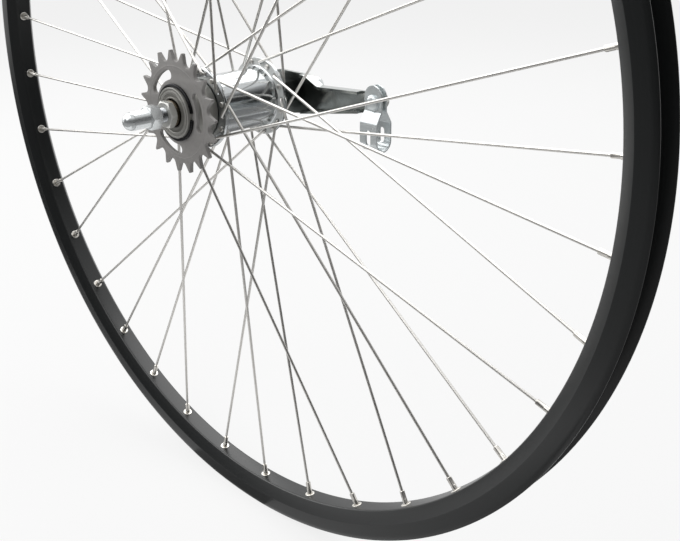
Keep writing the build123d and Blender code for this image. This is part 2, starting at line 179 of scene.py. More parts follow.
# Axle line
axle_half_length = reach("axle", "y")[1]
axle_radius = reach("axle", "x")[1]
thread_run = (50.0 * MM, 66.0 * MM)
thread_pitch = 1.0 * MM
thread_depth = 0.55 * MM
thread_rows = 8
nut_face_share = 0.97
nut_chamfer = radians(30)
cap_nut_end = reach("axle_nuts", "y")[1]
cap_nut_face = 63.0 * MM
cap_nut_hexagon = 8.0 * MM
cap_nut_radius = 6.3 * MM
cap_nut_neck_round = 0.7 * MM
cap_nut_roof = 2.0 * MM
cap_nut_dome_steps = 10
cap_nut_across_flats = 15.0 * MM
locknut_across_flats = 17.0 * MM
locknut_faces = ((-57.5 * MM, -52.5 * MM), (50.5 * MM, 57.5 * MM))

# Driver, sprocket and their rings
driver_outer_face = reach("driver", "y")[0]
driver_inner_end = reach("driver", "y")[1]
driver_seat_radius = 17.3 * MM
driver_flange_radius = 20.5 * MM
driver_flange_round = 0.8 * MM
driver_neck_radius = 11.5 * MM
driver_mouth_radius = 13.2 * MM
driver_mouth_round = 1.5 * MM
driver_mouth_floor = -43.0 * MM
driver_inner_face = -27.8 * MM
driver_bore = 6.0 * MM
groove_radii = (15.1 * MM, 16.0 * MM)
groove_depth = 0.5 * MM
groove_edge = 0.15 * MM
seat_gap = 0.05 * MM
sprocket_outer_face, sprocket_inner_face = reach("sprocket", "y")
sprocket_teeth = 19
chain_pitch = 12.7 * MM
chain_roller_radius = 3.95 * MM
roller_seat_half = radians(52)
tooth_angle = tau / sprocket_teeth
tip_share = 0.3
sprocket_pitch_radius = chain_pitch / 2 / sin(tooth_angle / 2)
sprocket_tip_radius = chain_pitch * (tip_share + 1 / (2 * tan(tooth_angle / 2)))
sprocket_tip_width = 1.3 * MM
first_gap_angle = radians(9.8)
window_inner_radius = 22.4 * MM
window_outer_radius = 29.0 * MM
window_span = radians(60)
window_angles = [radians(127.5 + 120 * place) for place in range(3)]
# Section of the sprocket's ring: radius, and place behind the outer face
sprocket_ring = [
    (30.6 * MM, 0.1 * MM), (31.4 * MM, -0.16 * MM), (32.2 * MM, 0.1 * MM), (31.4 * MM, 0.3 * MM),
]
snap_ring_radius = 19.6 * MM
snap_ring_gap = 5.0 * MM
snap_ring_edge = 0.35 * MM
cap_lip_radii = (9.6 * MM, 10.6 * MM)
cap_step_radius = 11.1 * MM
cap_step = 0.3 * MM
cone_radius = 8.9 * MM
cone_track_length = 4.0 * MM
cone_track_depth = 2.2 * MM

# Brake arm, its anchor and its clip
anchor_nose_radius = 8.6 * MM
anchor_body_radius = 10.6 * MM
anchor_taper = 9.0 * MM
anchor_taper_round = 1.0 * MM
anchor_disc_radius = 20.4 * MM
anchor_disc = (27.8 * MM, 37.3 * MM)
anchor_disc_slope = 5.0 * MM
anchor_disc_round = 1.5 * MM
anchor_face_radius = 14.0 * MM
anchor_across_flats = 15.0 * MM
anchor_neck_sink = 1.0 * MM
arm_inner_face, arm_outer_face = 47.5 * MM, 50.5 * MM
arm_middle = (arm_inner_face + arm_outer_face) / 2
arm_eye = (94.0 * MM, 6.0 * MM)
arm_seam = 0.001 * MM
arm_edge_round = 0.7 * MM
arm_edge_angle = radians(40)
strap_width = 16.0 * MM
strap_thickness = 1.4 * MM
strap_edge_share = 0.4
strap_ear_top = reach("arm_clip", "z")[1]
strap_loop_floor = reach("arm_clip", "z")[0] + strap_thickness / 2
strap_ears = (46.75 * MM, 51.25 * MM)
strap_neck = 0.0 * MM
strap_neck_round = 2.5 * MM
strap_loop_top = -8.0 * MM
strap_loop_half = 7.0 * MM
strap_loop_round = 3.0 * MM
strap_floor_round = strap_loop_half - 0.01 * MM
strap_slot = (4.5 * MM, 11.0 * MM)
strap_slot_middle = -17.75 * MM
punch_half = 20.0 * MM
bolt_head_radius = 5.6 * MM
bolt_dome = 2.4 * MM
bolt_dome_steps = 8
bolt_radius = 3.0 * MM
bolt_tip_radius = 2.5 * MM
bolt_tip = 0.5 * MM
bolt_hole_radius = 3.05 * MM
clip_nut_across_flats = 10.0 * MM


def linear(colour):
    """Linear RGBA of an sRGB hex colour."""
    channels = [int(colour[start : start + 2], 16) / 255 for start in (1, 3, 5)]
    return [c / 12.92 if c <= 0.04045 else ((c + 0.055) / 1.055) ** 2.4 for c in channels] + [1]


def add_node(tree, kind, inputs=None, **settings):
    """A node with its settings, and each input set to a value or linked to a socket."""
    made = tree.nodes.new(kind)
    for setting, value in settings.items():
        setattr(made, setting, value)
    for socket, value in (inputs or {}).items():
        if isinstance(value, bpy.types.NodeSocket):
            tree.links.new(value, made.inputs[socket])
        else:
            made.inputs[socket].default_value = value
    return made


def metal(name, light, dark, gloss, grain, depth, round_axle=False, metallic=1.0, shine=0.5):
    """A metal finish: two tones and a range of roughness that follow a grain of the given width.

    The grain is even, or runs in lines round the axle as a lathe or a drawing die leaves it, and is a
    fine relief too where it has a depth. Shine is how strongly a finish that isn't bare metal mirrors.
    """
    made = bpy.data.materials.new(name)
    made.use_nodes = True
    tree = made.node_tree
    tree.nodes.clear()
    place = add_node(tree, "ShaderNodeTexCoord").outputs["Object"]
    if round_axle:
        split = add_node(tree, "ShaderNodeSeparateXYZ", {"Vector": place})
        flat = add_node(tree, "ShaderNodeVectorMath", {0: place, 1: (1, 0, 1)}, operation="MULTIPLY")
        radius = add_node(tree, "ShaderNodeVectorMath", {0: flat.outputs["Vector"]}, operation="LENGTH")
        lines = {"X": radius.outputs["Value"], "Y": split.outputs["Y"]}
        place = add_node(tree, "ShaderNodeCombineXYZ", lines).outputs["Vector"]
    fine = add_node(
        tree, "ShaderNodeTexNoise", {"Vector": place, "Scale": 1 / grain, "Detail": 4.0, "Roughness": 0.6}
    ).outputs["Fac"]
    tone = add_node(
        tree, "ShaderNodeMix", {"Factor": fine, "A": linear(dark), "B": linear(light)}, data_type="RGBA"
    )
    rough = add_node(
        tree, "ShaderNodeMapRange", {"Value": fine, "To Min": gloss[0], "To Max": gloss[1]}
    )
    looks = {
        "Base Color": tone.outputs["Result"],
        "Metallic": metallic,
        "Roughness": rough.outputs["Result"],
        "Specular IOR Level": shine,
    }
    if depth:
        relief = add_node(tree, "ShaderNodeBump", {"Height": fine, "Distance": depth, "Strength": 1.0})
        looks["Normal"] = relief.outputs["Normal"]
    shader = add_node(tree, "ShaderNodeBsdfPrincipled", looks)
    add_node(tree, "ShaderNodeOutputMaterial", {"Surface": shader.outputs["BSDF"]})
    return made


# Drawing, lathe and grinding lines are drawn coarser than the real ones, as wide as they need to show.
# Black anodised aluminium: satin, near black, with faint drawing lines along the hoop
rim_finish = metal(
    "black_anodised_aluminium", "#17191a", "#0d0f0f", (0.24, 0.36), 0.7 * MM, 0.003 * MM, True, 0.0, 0.58
)
# Stainless spoke wire: drawn bright, greys a little where it is scuffed
spoke_finish = metal("drawn_stainless_wire", "#e8e6e2", "#d7d5d1", (0.34, 0.44), 14 * MM, 0)
# Nickel-plated brass: warm white metal, soft shine
nipple_finish = metal("nickel_plated_brass", "#ece9e3", "#d4d1cb", (0.26, 0.36), 3 * MM, 0)
# Chromed steel: mirror with a slight polishing ripple
chrome_finish = metal("chromed_steel", "#cfd2d3", "#bdc1c3", (0.1, 0.18), 9 * MM, 0.01 * MM)
# Satin chrome on the flanges' inner faces: pale, without a clear mirror image
flange_finish = metal(
    "satin_chromed_steel", "#d9dbda", "#c3c6c5", (0.4, 0.52), 3 * MM, 0.005 * MM, metallic=0.35
)
# Phosphated sprocket steel: matte warm grey, mottled by the bath
sprocket_finish = metal(
    "phosphated_steel", "#8f8d8b", "#7d7b79", (0.5, 0.64), 2.2 * MM, 0.01 * MM, metallic=0.25
)
# Turned steel: grey with lathe lines round the axle
driver_finish = metal("turned_steel", "#b4b3ae", "#7d7c78", (0.34, 0.48), 0.6 * MM, 0.01 * MM, True, 0.6)
# Blued spring steel: black with an oily shine
spring_finish = metal("blued_spring_steel", "#48484a", "#2b2b2d", (0.2, 0.32), 1.2 * MM, 0.005 * MM)
# Zinc-plated pressed sheet: dull grey, with faint rings from the press
cap_finish = metal("zinc_plated_sheet", "#84837e", "#62615d", (0.34, 0.48), 0.9 * MM, 0.01 * MM, True, 0.6)
# Hardened and ground steel: dark brown from the oil quench, with a keen shine
cone_finish = metal("hardened_steel", "#766c5c", "#37332c", (0.18, 0.32), 0.5 * MM, 0.01 * MM, True)
# Dark neutral steel: painted shade of the gap between the far flange and the arm, so that the arm mirrors
# a dark hub
anchor_shade_finish = metal("dark_steel_painted_shade", "#565857", "#333534", (0.26, 0.4), 0.9 * MM, 0.005 * MM, True)
# Bright zinc plate on the nuts: pale and softly bright
nut_finish = metal(
    "bright_zinc_plate", "#e0e0dc", "#c8c8c4", (0.28, 0.4), 2.5 * MM, 0.004 * MM, metallic=0.7
)
# Rolled axle steel: bright, a little cloudy from handling
axle_finish = metal("rolled_bright_steel", "#b9bcbe", "#94979a", (0.2, 0.34), 1.5 * MM, 0.01 * MM)
# Chrome over rolled sheet: a mirror whose soft waves blur what it shows
arm_finish = metal("chromed_sheet", "#bcc0be", "#a6aba8", (0.14, 0.22), 4 * MM, 0.01 * MM)
# Blue zinc plate on the bent strap: pale and slightly blue
strap_finish = metal(
    "blue_zinc_plate", "#dfe4e5", "#cfd5d7", (0.2, 0.3), 6 * MM, 0.01 * MM, metallic=0.6
)
# Nickel-plated cap nuts: bright, but paler than the shell's mirror
cap_nut_finish = metal(
    "nickel_plated_steel", "#e4e7e8", "#d6dadb", (0.14, 0.22), 4 * MM, 0.005 * MM, metallic=0.75
)
# Ground bearing steel: clean grey under a film of oil, with grinding lines
inner_finish = metal("ground_bearing_steel", "#a9a9a8", "#807f7e", (0.18, 0.3), 0.7 * MM, 0.01 * MM, True)
# Sintered bronze: brown gold and grainy, dull between its pores
shoe_finish = metal("sintered_bronze", "#a5814f", "#7d5f38", (0.36, 0.52), 0.8 * MM, 0.02 * MM)


def rounded(corners, closed=True, steps=4):
    """Line through (corner, radius) pairs, with each corner turned into an arc of its radius."""
    points = []
    for place, (corner, radius) in enumerate(corners):
        corner = Vector(corner)
        if radius == 0 or (not closed and place in (0, len(corners) - 1)):
            points.append(corner)
            continue
        before = (Vector(corners[place - 1][0]) - corner).normalized()
        after = (Vector(corners[(place + 1) % len(corners)][0]) - corner).normalized()
        half = before.angle(after) / 2
        centre = corner + (before + after).normalized() * radius / sin(half)
        first = corner + before * radius / tan(half) - centre
        last = corner + after * radius / tan(half) - centre
        turns = [first.slerp(last, step / steps).normalized() for step in range(steps + 1)]
        points += [centre + turn * radius for turn in turns]
    return points


def loft(shape, rings, closed=False):
    """Skin over rings of points. Closed rings run back to the first, open ones get flat ends."""
    rows = [[shape.verts.new(point) for point in ring] for ring in rings]
    pairs = list(zip(rows, rows[1:]))
    if closed:
        pairs.append((rows[-1], rows[0]))
    for lower, upper in pairs:
        count = max(len(lower), len(upper))
        if count == 1:
            continue
        for side in range(count):
            ahead = (side + 1) % count
            if len(lower) == 1:
                shape.faces.new((lower[0], upper[ahead], upper[side]))
            elif len(upper) == 1:
                shape.faces.new((lower[side], lower[ahead], upper[0]))
            else:
                shape.faces.new((lower[side], lower[ahead], upper[ahead], upper[side]))
    if not closed:
        for row in (rows[0], rows[-1]):
            if len(row) > 2:
                shape.faces.new(row)


def circle(radius, along, sides):
    """Ring of points round the axle's line, or its one point on that line."""
    if radius == 0:
        return [Vector((0, along, 0))]
    turns = [tau * side / sides for side in range(sides)]
    return [Vector((radius * cos(turn), along, radius * sin(turn))) for turn in turns]


def spin(shape, outline, sides, placed=None):
    """Turned shape: a closed outline of (radius, along) points, spun round the axle's line."""
    rings = [circle(radius, along, sides) for radius, along in outline]
    if placed:
        rings = [[placed @ point for point in ring] for ring in rings]
    loft(shape, rings, closed=True)


def tube(shape, path, radius, sides):
    """Round wire along a path."""
    rings = []
    aside = (path[1] - path[0]).orthogonal()
    turns = [tau * side / sides for side in range(sides)]
    for place, point in enumerate(path):
        run = (path[min(place + 1, len(path) - 1)] - path[max(place - 1, 0)]).normalized()
        aside = (aside - run * aside.dot(run)).normalized()
        across = run.cross(aside)
        rings.append([point + radius * (aside * cos(turn) + across * sin(turn)) for turn in turns])
    loft(shape, rings)


def hexagon(across_flats, turn):
    """Distance from the middle of a hexagon to its edge at a turn, with a corner at turn 0."""
    return across_flats / 2 / cos((turn % (pi / 3)) - pi / 6)


def nut_rings(across_flats, low, high, bore):
    """Rings of a hexagon nut whose corners are turned off at both faces."""
    turns = [tau * side / turned_sides for side in range(turned_sides)]
    face = across_flats / 2 * nut_face_share
    slope = tan(nut_chamfer)

    def corner_ring(end, inward):
        edges = [hexagon(across_flats, turn) for turn in turns]
        return [
            Vector((edge * cos(turn), end + inward * (edge - face) * slope, edge * sin(turn)))
            for edge, turn in zip(edges, turns)
        ]

    return [
        circle(bore, low, turned_sides),
        circle(face, low, turned_sides),
        corner_ring(low, 1),
        corner_ring(high, -1),
        circle(face, high, turned_sides),
        circle(bore, high, turned_sides),
    ]


def piece(name, shape, sharp=plain_sharp):
    """Object of a finished shape, smooth but for edges over this many degrees."""
    bmesh.ops.recalc_face_normals(shape, faces=shape.faces)
    mesh = bpy.data.meshes.new(name)
    shape.to_mesh(mesh)
    shape.free()
    return shown(name, mesh, sharp)


def shown(name, mesh, sharp=plain_sharp):
    """Object of a mesh, smooth but for edges over this many degrees."""
    mesh.shade_smooth()
    mesh.set_sharp_from_angle(angle=radians(sharp))
    made = bpy.data.objects.new(name, mesh)
    bpy.context.collection.objects.link(made)
    return made


def lathed(name, outline, sides, placed=None):
    """Object turned from a closed outline of (radius, along) points."""
    shape = bmesh.new()
    spin(shape, outline, sides, placed)
    return piece(name, shape)


def settled(made):
    """Takes what an object's modifiers make as its own plain mesh."""
    graph = bpy.context.evaluated_depsgraph_get()
    mesh = bpy.data.meshes.new_from_object(made.evaluated_get(graph))
    made.modifiers.clear()
    made.data = mesh


def bored(made, drill):
    """Cuts a drill or punch out of a piece, which uses it up."""
    cut = made.modifiers.new("bore", "BOOLEAN")
    cut.object = drill
    cut.solver = "EXACT"
    settled(made)
    bpy.data.objects.remove(drill)
    made.data.shade_smooth()
    made.data.set_sharp_from_angle(angle=radians(bored_sharp))


def dress(made, finish, body, slot, *nodes):
    """Gives a piece its finish, the body that it rides on and the nodes that it stands for."""
    made.data.materials.clear()
    made.data.materials.append(finish)
    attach(made, body)
    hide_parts(*nodes)


def copies_tree():
    """Geometry nodes that turn one piece about the axle into a full set of copies."""
    tree = bpy.data.node_groups.new("copies_about_axle", "GeometryNodeTree")
    tree.interface.new_socket("Piece", in_out="INPUT", socket_type="NodeSocketObject")
    tree.interface.new_socket("Count", in_out="INPUT", socket_type="NodeSocketInt")
    tree.interface.new_socket("Finish", in_out="INPUT", socket_type="NodeSocketMaterial")
    tree.interface.new_socket("Copies", in_out="OUTPUT", socket_type="NodeSocketGeometry")
    given = add_node(tree, "NodeGroupInput").outputs
    places = add_node(tree, "GeometryNodePoints", {"Count": given["Count"]})
    index = add_node(tree, "GeometryNodeInputIndex").outputs["Index"]
    step = add_node(tree, "ShaderNodeMath", {0: tau, 1: given["Count"]}, operation="DIVIDE").outputs[0]
    turn = add_node(tree, "ShaderNodeMath", {0: index, 1: step}, operation="MULTIPLY").outputs[0]
    about_axle = add_node(tree, "ShaderNodeCombineXYZ", {"Y": turn}).outputs[0]
    first = add_node(tree, "GeometryNodeObjectInfo", {"Object": given["Piece"]}).outputs["Geometry"]
    spread = add_node(
        tree,
        "GeometryNodeInstanceOnPoints",
        {"Points": places.outputs[0], "Instance": first, "Rotation": about_axle},
    )
    real = add_node(tree, "GeometryNodeRealizeInstances", {"Geometry": spread.outputs[0]})
    finished = add_node(
        tree, "GeometryNodeSetMaterial", {"Geometry": real.outputs[0], "Material": given["Finish"]}
    )
    add_node(tree, "NodeGroupOutput", {"Copies": finished.outputs[0]})
    return tree


about_axle_tree = copies_tree()


def copies(name, first, count, finish):
    """One piece that holds evenly turned copies of the first, which is used up."""
    made = shown(name, bpy.data.meshes.new(name))
    maker = made.modifiers.new("copies", "NODES")
    maker.node_group = about_axle_tree
    values = {"Piece": first, "Count": count, "Finish": finish}
    for socket in about_axle_tree.interface.items_tree:
        if socket.in_out == "INPUT":
            maker[socket.identifier] = values[socket.name]
    settled(made)
    bpy.data.objects.remove(first)
    return made


def flat_plate(name, loops, low, high, edge):
    """Plate between two places along the axle. The first (x, z) loop is its outline, the rest holes."""
    curve = bpy.data.curves.new(name, "CURVE")
    curve.dimensions = "2D"
    curve.fill_mode = "BOTH"
    curve.extrude = (high - low) / 2 - edge
    curve.bevel_depth = edge
    curve.bevel_resolution = plate_edge_steps
    curve.offset = -edge
    for loop in loops:
        spline = curve.splines.new("POLY")
        spline.points.add(len(loop) - 1)
        spline.use_cyclic_u = True
        for point, (across, up) in zip(spline.points, loop):
            point.co = (across, up, 0, 1)
    drawn = bpy.data.objects.new(name, curve)
    bpy.context.collection.objects.link(drawn)
    graph = bpy.context.evaluated_depsgraph_get()
    mesh = bpy.data.meshes.new_from_object(drawn.evaluated_get(graph))
    bpy.data.objects.remove(drawn)
    upright = Matrix.Rotation(pi / 2, 4, "X")
    mesh.transform(Matrix.Translation((0, (low + high) / 2, 0)) @ upright)
    shape = bmesh.new()
    shape.from_mesh(mesh)
    bmesh.ops.remove_doubles(shape, verts=shape.verts, dist=merge_distance)
    return shape


def arc(radius, start, end, steps, centre=(0, 0)):
    """Points along an arc, from one angle to another."""
    angles = [start + (end - start) * step / steps for step in range(steps + 1)]
    return [(centre[0] + radius * cos(turn), centre[1] + radius * sin(turn)) for turn in angles]


def turned_points(points, turn):
    """Points of a flat loop, turned about the axle."""
    return [(u * cos(turn) - v * sin(turn), u * sin(turn) + v * cos(turn)) for u, v in points]


class SpokeLine:
    """One spoke's run from the rim to its elbow, then its tail through the flange."""

    def __init__(self, hole):
        side = -1 if hole % 2 == 0 else 1
        runs_outside = hole % 4 < 2
        rim_angle = first_spoke_angle - hole * tau / spoke_count
        lean = spoke_crosses * 2 * tau / spoke_count
        hub_angle = rim_angle - lean if runs_outside else rim_angle + lean
        self.rim_point = Vector((rim_base_radius * cos(rim_angle), 0, rim_base_radius * sin(rim_angle)))
        hub_point = Vector((flange_hole_circle * cos(hub_angle), 0, flange_hole_circle * sin(hub_angle)))
        flat_run = (self.rim_point - hub_point).length
        radial_part = (self.rim_point - hub_point).dot(hub_point) / flat_run
        edge_radius = flange_radius + spoke_radius
        edge_run = sqrt(radial_part**2 + edge_radius**2 - flange_hole_circle**2) - radial_part
        sink = edge_run * (abs(flange_y[side]) + 2 * flange_half) / flat_run if runs_outside else 0
        self.run_side = side if runs_outside else -side
        elbow_reach = flange_half + spoke_radius + spoke_gap + sink
        self.elbow = hub_point + Vector((0, flange_y[side] + self.run_side * elbow_reach, 0))
        self.seat = hub_point + Vector((0, flange_y[side] - self.run_side * flange_half, 0))
        self.direction = (self.elbow - self.rim_point).normalized()
        self.nipple_end = self.rim_point + self.direction * nipple_length


def build_rim():
    """One rolled hoop: flat base, slanted shoulders, upright braking walls and an open tyre well."""
    well_half = rim_half_width - rim_edge
    shoulder_radius = rim_base_radius + rim_shoulder
    half_section = [
        ((rim_base_radius, rim_base_half), rim_base_round),
        ((shoulder_radius, rim_half_width), rim_shoulder_round),
        ((rim_radius - rim_lip[0], rim_half_width), rim_wall_round),
        ((rim_radius, rim_half_width - rim_lip[1]), soft_edge),
        ((rim_radius, well_half), eased_edge),
        ((rim_floor_radius, rim_floor_half), rim_floor_round),
    ]
    other_half = [((radius, -along), bend) for (radius, along), bend in reversed(half_section)]
    rim = lathed("rim", rounded(half_section + other_half), rim_sides)
    outward = Matrix.Rotation(-valve_angle, 4, "Y") @ Matrix.Rotation(-pi / 2, 4, "Z")
    drill_outline = [(0, valve_drill_start), (valve_hole_radius, valve_drill_start)]
    drill_outline += [(valve_hole_radius, valve_drill_end), (0, valve_drill_end)]
    bored(rim, lathed("valve_drill", drill_outline, valve_drill_sides, outward))
    dress(rim, rim_finish, "wheel", "rim_black", "rim")


def build_spokes():
    """Four families of spokes: a straight run, a bent elbow and a flat head behind the flange."""
    head = rounded(
        [
            ((0, 0), 0),
            ((spoke_head_radius, 0), ground_edge),
            ((spoke_head_radius, spoke_end_length), soft_edge),
            ((0, spoke_end_length), 0),
        ]
    )
    for family, hole in spoke_families.items():
        line = SpokeLine(hole)
        shape = bmesh.new()
        start = line.nipple_end - line.direction * nipple_socket
        path = [(start.lerp(line.elbow, step / spoke_steps), 0) for step in range(spoke_steps)]
        path += [(line.elbow, spoke_bend), (line.seat, 0)]
        tube(shape, rounded(path, closed=False, steps=bend_steps), spoke_radius, spoke_sides)
        outward = [(radius, -line.run_side * along) for radius, along in head]
        spin(shape, outward, spoke_sides, Matrix.Translation(line.seat))
        made = copies(family, piece("first_spoke", shape), family_size, spoke_finish)
        dress(made, spoke_finish, "wheel", "spoke_steel", family)


def build_nipples():
    """Nipples with wrench flats and a rounded lip, each through a bright eyelet in the rim's base."""
    eyelet = rounded(
        [
            ((nipple_radius + eyelet_gap, -eyelet_depth), 0),
            ((eyelet_radius, -eyelet_depth), ground_edge),
            ((eyelet_radius, eyelet_height), eased_edge),
            ((nipple_radius + eyelet_gap, eyelet_height), broken_edge),
        ]
    )
    turns = [tau * side / nipple_sides for side in range(nipple_sides)]
    shape = bmesh.new()
    for hole in spoke_families.values():
        line = SpokeLine(hole)
        turn = Vector((0, 1, 0)).rotation_difference(line.direction).to_matrix().to_4x4()
        placed = Matrix.Translation(line.rim_point) @ turn
        rings = []
        for along, radius, flat in nipple_sections:
            if radius == 0:
                rings.append([placed @ Vector((0, along * MM, 0))])
                continue
            sizes = [min(radius, flat / max(abs(cos(t)), abs(sin(t)))) * MM for t in turns]
            rings.append(
                [placed @ Vector((s * cos(t), along * MM, s * sin(t))) for s, t in zip(sizes, turns)]
            )
        loft(shape, rings)
        radial = Vector((0, 1, 0)).rotation_difference(-line.rim_point).to_matrix().to_4x4()
        spin(shape, eyelet, nipple_sides, Matrix.Translation(line.rim_point) @ radial)
    made = copies("nipples", piece("first_nipples", shape), family_size, nipple_finish)
    dress(made, nipple_finish, "wheel", "nipple_nickel", "nipples")


def build_hub_shell():
    """Chromed shell: a bored barrel that flares into two flanges, drilled for the spokes."""
    half_sections = []
    for side in (-1, 1):
        outer = flange_y[side] + side * flange_half
        inner = flange_y[side] - side * flange_half
        half_sections.append(
            [
                ((shell_bore, outer), soft_edge),
                ((flange_radius, outer), flange_edge_round),
                ((flange_radius, inner), flange_edge_round),
                ((barrel_radius, inner), shoulder_round),
            ]
        )
    section = rounded(half_sections[0] + half_sections[1][::-1], steps=bend_steps)
    shell = lathed("hub_shell", section, shell_sides)
    bore, mouth = spoke_radius + spoke_hole_gap, spoke_radius + countersink_width
    edge = flange_half + drill_overrun
    outline = [
        (0, -edge), (mouth, -edge), (bore, -edge + countersink_depth),
        (bore, edge - countersink_depth), (mouth, edge), (0, edge),
    ]
    for side, first_hole in ((-1, 0), (1, 1)):
        angle = first_spoke_angle - first_hole * tau / spoke_count
        middle = Vector((flange_hole_circle * cos(angle), flange_y[side], flange_hole_circle * sin(angle)))
        drill = lathed("drill", outline, flange_drill_sides, Matrix.Translation(middle))
        bored(shell, copies("drills", drill, spoke_count // 2, chrome_finish))
    dress(shell, chrome_finish, "wheel", "hub_chrome", "hub_shell")
    shell.data.materials.append(flange_finish)
    for face in shell.data.polygons:
        off_axle = Vector((face.center.x, face.center.z)).length
        faces_in = face.normal.y * face.center.y < 0 and abs(face.normal.y) > flange_face_slope
        if off_axle > barrel_radius + shoulder_round / 2 and faces_in:
            face.material_index = 1


def build_axle():
    """Steel axle with a rolled thread where it is bare between locknut and cap nut."""
    rings = [circle(axle_radius - thread_depth, -axle_half_length, slim_sides)]
    for start, end in ((-thread_run[1], -thread_run[0]), thread_run):
        rows = round((end - start) / thread_pitch * thread_rows)
        for row in range(rows + 1):
            along = start + (end - start) * row / rows
            ring = []
            for side in range(slim_sides):
                turn = tau * side / slim_sides
                phase = (along / thread_pitch + side / slim_sides) % 1
                radius = axle_radius - thread_depth * abs(2 * phase - 1)
                ring.append(Vector((radius * cos(turn), along, radius * sin(turn))))
            rings.append(ring)
    rings.append(circle(axle_radius - thread_depth, axle_half_length, slim_sides))
    shape = bmesh.new()
    loft(shape, rings)
    dress(piece("axle", shape, thread_sharp), axle_finish, "axle_group", "axle_steel", "axle")


def build_axle_nuts():
    """Plated cap nuts: a hexagon, a slim barrel and a round dome, one at each end."""
    hexagon_end = cap_nut_face + cap_nut_hexagon
    dome_start = cap_nut_end - cap_nut_radius
    roof = dome_start - cap_nut_roof
    rings = nut_rings(cap_nut_across_flats, cap_nut_face, hexagon_end, axle_radius)[:-1]
    neck = rounded(
        [
            ((cap_nut_across_flats / 2, hexagon_end), 0),
            ((cap_nut_radius, hexagon_end), cap_nut_neck_round),
            ((cap_nut_radius, dome_start), 0),
        ],
        closed=False,
    )
    rings += [circle(radius, along, turned_sides) for radius, along in neck[1:]]
    for step in range(1, cap_nut_dome_steps + 1):
        turn = pi / 2 * step / cap_nut_dome_steps
        radius = cap_nut_radius * cos(turn) if step < cap_nut_dome_steps else 0
        rings.append(circle(radius, dome_start + cap_nut_radius * sin(turn), turned_sides))
    rings.append([Vector((0, roof, 0))])
    rings.append(circle(axle_radius, roof, turned_sides))
    shape = bmesh.new()
    loft(shape, rings, closed=True)
    other = [[Vector((point.x, -point.y, point.z)) for point in ring] for ring in rings]
    loft(shape, other, closed=True)
    dress(piece("axle_nuts", shape, nut_sharp), cap_nut_finish, "axle_group", "hub_chrome", "axle_nuts")


def build_locknuts():
    """Hexagon locknuts on both sides of the hub."""
    shape = bmesh.new()
    for low, high in locknut_faces:
        loft(shape, nut_rings(locknut_across_flats, low, high, axle_radius), closed=True)
    dress(piece("locknuts", shape, nut_sharp), nut_finish, "axle_group", "nut_steel", "locknuts")


def build_driver():
    """Turned driver: a grooved end face, the sprocket's seat, a shoulder and the clutch's neck."""
    groove_floor = driver_outer_face + groove_depth
    outline = rounded(
        [
            ((driver_mouth_radius, driver_outer_face), eased_edge),
            ((groove_radii[0], driver_outer_face), groove_edge),
            ((groove_radii[0], groove_floor), keen_edge),
            ((groove_radii[1], groove_floor), keen_edge),
            ((groove_radii[1], driver_outer_face), groove_edge),
            ((driver_seat_radius, driver_outer_face), eased_edge),
            ((driver_seat_radius, sprocket_inner_face), 0),
            ((driver_flange_radius, sprocket_inner_face), worn_edge),
            ((driver_flange_radius, driver_inner_face), driver_flange_round),
            ((driver_neck_radius, driver_inner_face), soft_edge),
            ((driver_neck_radius, driver_inner_end), worn_edge),
            ((driver_bore, driver_inner_end), eased_edge),
            ((driver_bore, driver_mouth_floor), broken_edge),
            ((driver_mouth_radius, driver_mouth_floor), driver_mouth_round),
        ]
    )
    driver = lathed("driver", outline, turned_sides)
    dress(driver, driver_finish, "driver_group", "driver_steel", "driver")


def sprocket_outline():
    """Teeth: a round seat for each roller, then straight flanks up to narrow tips."""
    half_gap = sprocket_tip_radius * sin(tooth_angle / 2) - sprocket_tip_width / 2
    seat_ends = (pi + roller_seat_half, pi - roller_seat_half)
    seat = arc(chain_roller_radius, *seat_ends, roller_seat_steps, (sprocket_pitch_radius, 0))
    shoulder = sqrt(sprocket_tip_radius**2 - half_gap**2)
    gap = [(shoulder, -half_gap)] + seat + [(shoulder, half_gap)]
    points = []
    for tooth in range(sprocket_teeth):
        points += turned_points(gap, first_gap_angle + tooth * tooth_angle)
    return points


def window_loop(middle):
    """Curved window with round ends."""
    end_radius = (window_outer_radius - window_inner_radius) / 2
    line_radius = (window_outer_radius + window_inner_radius) / 2
    half = window_span / 2 - asin(end_radius / line_radius)
    across, up = line_radius * cos(half), line_radius * sin(half)
    loop = arc(window_outer_radius, half, -half, window_steps)
    loop += arc(end_radius, -half, -half - pi, window_end_steps, (across, -up))
    loop += arc(window_inner_radius, -half, half, window_steps)
    loop += arc(end_radius, half + pi, half, window_end_steps, (across, up))
    return turned_points(loop, middle)


def build_sprocket():
    """Stamped sprocket with three curved windows and a faint raised ring."""
    bore = arc(driver_seat_radius + seat_gap, 0, -tau, turned_sides)[:-1]
    loops = [sprocket_outline(), bore] + [window_loop(middle) for middle in window_angles]
    shape = flat_plate("sprocket", loops, sprocket_outer_face, sprocket_inner_face, broken_edge)
    ring = [(radius, sprocket_outer_face + behind) for radius, behind in sprocket_ring]
    spin(shape, ring, sprocket_ring_sides)
    dress(piece("sprocket", shape), sprocket_finish, "driver_group", "sprocket_steel", "sprocket")


def build_snap_ring():
    """Open ring of black spring steel."""
    half_gap = asin(snap_ring_gap / 2 / snap_ring_radius)
    loop = arc(snap_ring_radius, half_gap, tau - half_gap, turned_sides)
    loop += arc(driver_seat_radius + seat_gap, tau - half_gap, half_gap, turned_sides)
    low, high = reach("snap_ring", "y")
    shape = flat_plate("snap_ring", [loop], low, high, snap_ring_edge)
    dress(piece("snap_ring", shape), spring_finish, "driver_group", "spring_black", "snap_ring")


